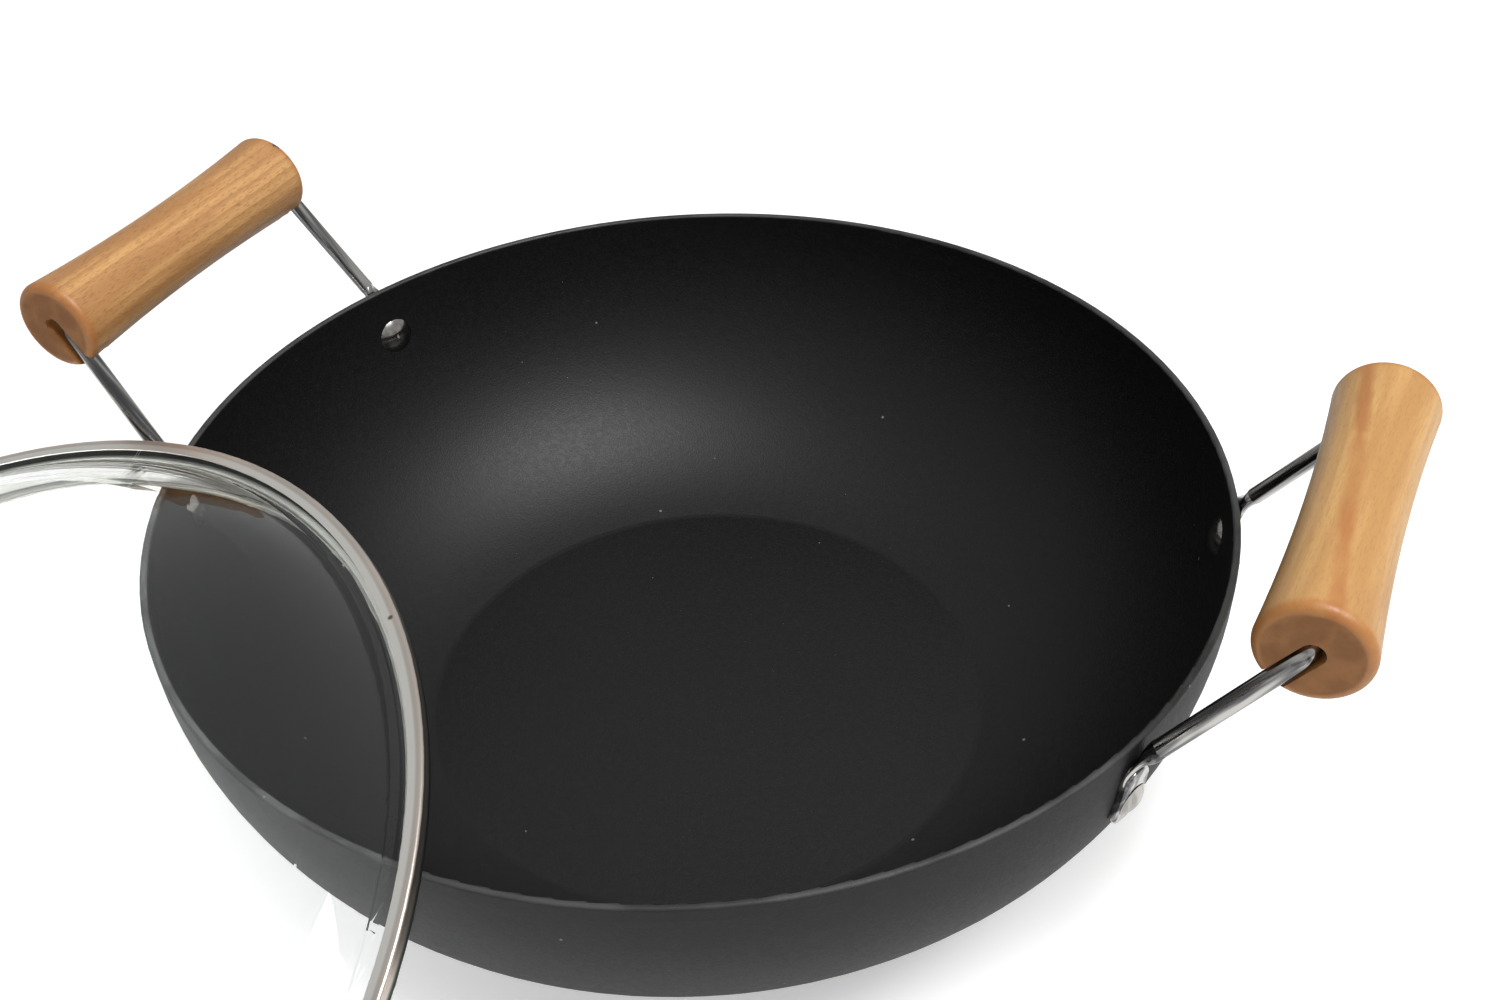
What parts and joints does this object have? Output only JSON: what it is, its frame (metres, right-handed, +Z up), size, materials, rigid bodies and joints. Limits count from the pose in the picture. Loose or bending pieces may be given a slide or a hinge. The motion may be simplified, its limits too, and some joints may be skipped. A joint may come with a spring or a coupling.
{
  "type": "wok with lid",
  "caption": "Deep flat-based black steel wok with wire bail handles, turned wooden grips, rivets and a banded glass lid leaning on its rim.",
  "frame": {"origin": "centre of the wok's flat base, on the surface that it stands on", "axes": "+Z up out of the bowl; +X from the centre through the right handle, with the left handle on -X; +Y to the back, away from the side that the lid leans on"},
  "size_m": [0.4912, 0.5369, 0.1464],
  "materials": {
    "bowl_coating": "satin black non-stick coating baked on carbon steel sheet",
    "rod_steel": "polished drawn steel rod, tabs forged flat and polished with it",
    "rivet_steel": "polished domed rivet heads",
    "beech": "turned beech, thin matt lacquer, burnt brown at the two ends",
    "knob_wood": "turned beech, thin matt lacquer",
    "lid_glass": "clear tempered glass, polished",
    "band_steel": "rolled stainless steel, fine satin",
    "seal_rubber": "dark silicone, matt",
    "insert_brass": "plain turned brass"
  },
  "bodies": {
    "wok": {"wok_bowl": "bowl_coating", "right_bail": "rod_steel", "left_bail": "rod_steel", "right_grip": "beech", "left_grip": "beech", "bail_rivets": "rivet_steel"},
    "lid": {"lid_glass": "lid_glass", "lid_band": "band_steel", "lid_knob_plate": "band_steel", "lid_knob": "knob_wood", "lid_knob_insert": "insert_brass", "lid_knob_seal": "seal_rubber", "lid_knob_washer": "band_steel", "lid_knob_screw": "band_steel", "lid_vent_eyelet": "band_steel"}
  },
  "joints": [
    {"name": "lid_lift", "type": "slide", "parent": "wok", "child": "lid", "axis": [0, 0, 1], "range_m": [0, 0.25]}
  ]
}
